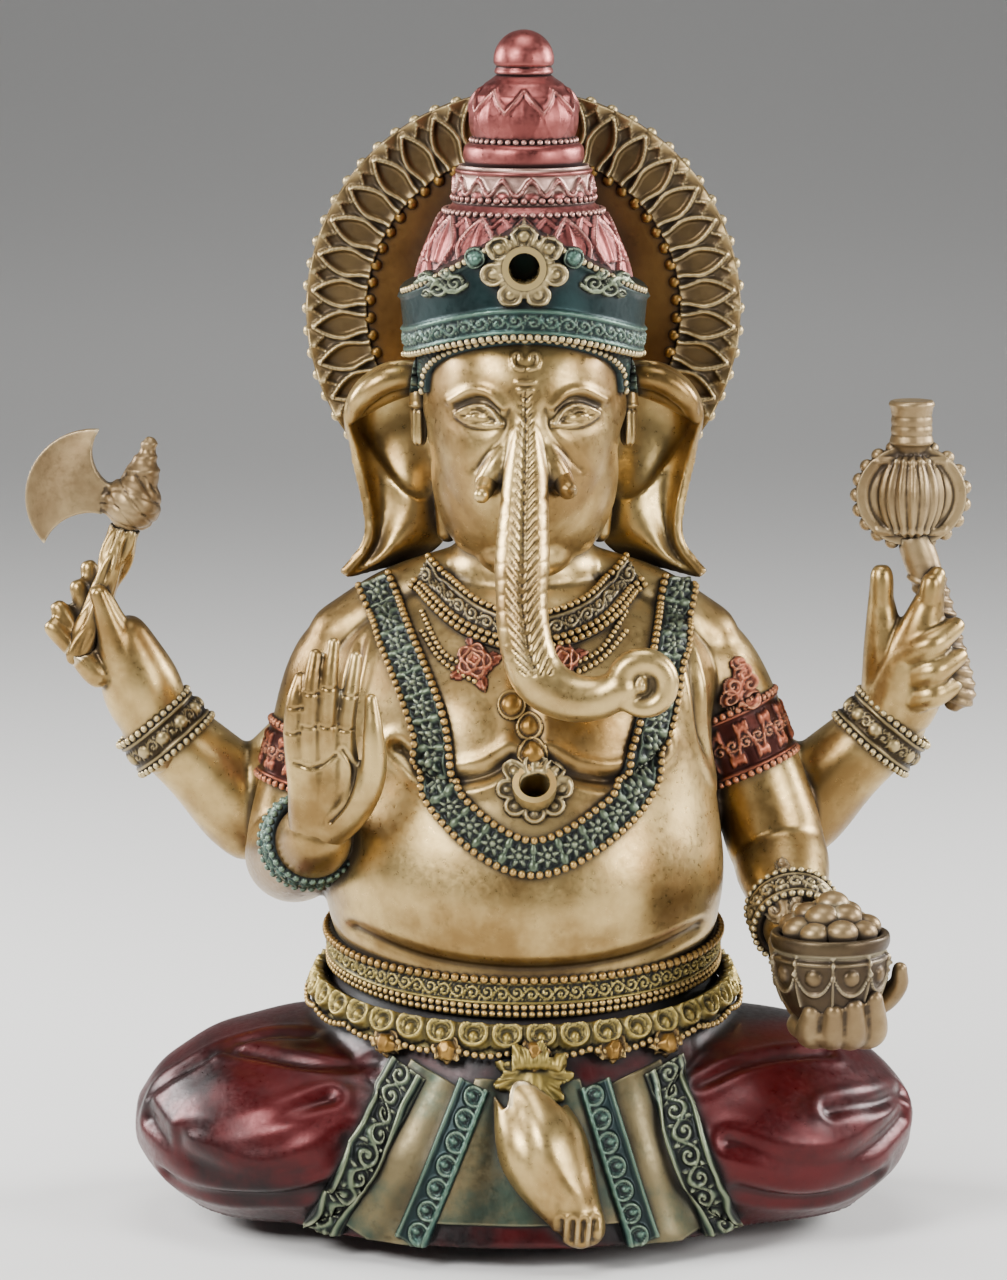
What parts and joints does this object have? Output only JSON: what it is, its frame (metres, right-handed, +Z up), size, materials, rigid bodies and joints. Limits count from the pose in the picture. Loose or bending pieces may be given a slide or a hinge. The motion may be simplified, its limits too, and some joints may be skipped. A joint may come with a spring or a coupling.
{
  "type": "ganesha idol",
  "caption": "Seated four-armed elephant-headed table idol with halo, axe, mace and bowl of sweets; an incense cone chamber behind the lap vents at crown and pendant.",
  "frame": {"origin": "centre of the flat underside of the seat, on the figure's midline", "axes": "+Z up, -Y towards the front of the figure, +X towards the figure's own left"},
  "size_m": [0.1718, 0.0946, 0.2086],
  "materials": {
    "gold_wash_casting": "metallic gold paint with a dark brown wash over cast resin stone",
    "copper_wash_casting": "metallic copper-pink paint with a dark wash over cast resin stone",
    "green_wash_casting": "metallic green-blue paint with pale rubbed edges over cast resin stone",
    "dark_red_cloth_casting": "satin dark brown-red paint with brighter red glazes over cast resin stone",
    "green_bronze_cloth_casting": "metallic bronze paint glazed green over cast resin stone",
    "bronze_wash_casting": "metallic bronze paint with a dark wash over cast resin stone",
    "brass_sleeve": "turned",
    "steel_dowel": "plain"
  },
  "bodies": {
    "root": {"axe_blade": "bronze_wash_casting", "axe_shaft": "bronze_wash_casting", "bead_strings": "gold_wash_casting", "belt": "gold_wash_casting", "belt_clasp": "gold_wash_casting", "belt_studs": "gold_wash_casting", "breast_flowers": "copper_wash_casting", "broken_tusk": "gold_wash_casting", "collar": "gold_wash_casting", "crown_ball": "copper_wash_casting", "crown_bulb": "copper_wash_casting", "crown_dome": "copper_wash_casting", "crown_flower": "green_wash_casting", "crown_ring": "copper_wash_casting", "crown_scroll_tier": "copper_wash_casting", "crown_vent_sleeve": "brass_sleeve", "diadem": "green_wash_casting", "ear_tassels": "gold_wash_casting", "garland_band": "green_wash_casting", "halo_beads": "bronze_wash_casting", "halo_disc": "bronze_wash_casting", "halo_petal_rim": "bronze_wash_casting", "head_casting": "gold_wash_casting", "lap_casting": "gold_wash_casting", "left_armlet": "copper_wash_casting", "left_ear": "gold_wash_casting", "left_front_arm": "gold_wash_casting", "left_front_bracelet": "green_wash_casting", "left_front_hand": "gold_wash_casting", "left_leg": "dark_red_cloth_casting", "left_rear_arm": "gold_wash_casting", "left_rear_bracelet": "green_wash_casting", "left_rear_hand": "gold_wash_casting", "left_sash_borders": "green_bronze_cloth_casting", "left_sash_panel": "green_bronze_cloth_casting", "locating_dowels": "steel_dowel", "mace_head": "bronze_wash_casting", "mace_shaft": "bronze_wash_casting", "neck": "gold_wash_casting", "pendant_flower": "green_wash_casting", "pendant_studs": "gold_wash_casting", "pendant_vent_sleeve": "brass_sleeve", "pointed_tusk": "gold_wash_casting", "right_armlet": "copper_wash_casting", "right_ear": "gold_wash_casting", "right_front_arm": "gold_wash_casting", "right_front_bracelet": "green_wash_casting", "right_front_hand": "gold_wash_casting", "right_leg": "dark_red_cloth_casting", "right_rear_arm": "gold_wash_casting", "right_rear_bracelet": "green_wash_casting", "right_rear_hand": "gold_wash_casting", "right_sash_borders": "green_bronze_cloth_casting", "right_sash_panel": "green_bronze_cloth_casting", "scallop_apron": "green_bronze_cloth_casting", "sweet_bowl": "bronze_wash_casting", "sweets": "gold_wash_casting", "torso_casting": "gold_wash_casting", "trunk": "gold_wash_casting", "tucked_foot": "gold_wash_casting"}
  },
  "joints": []
}
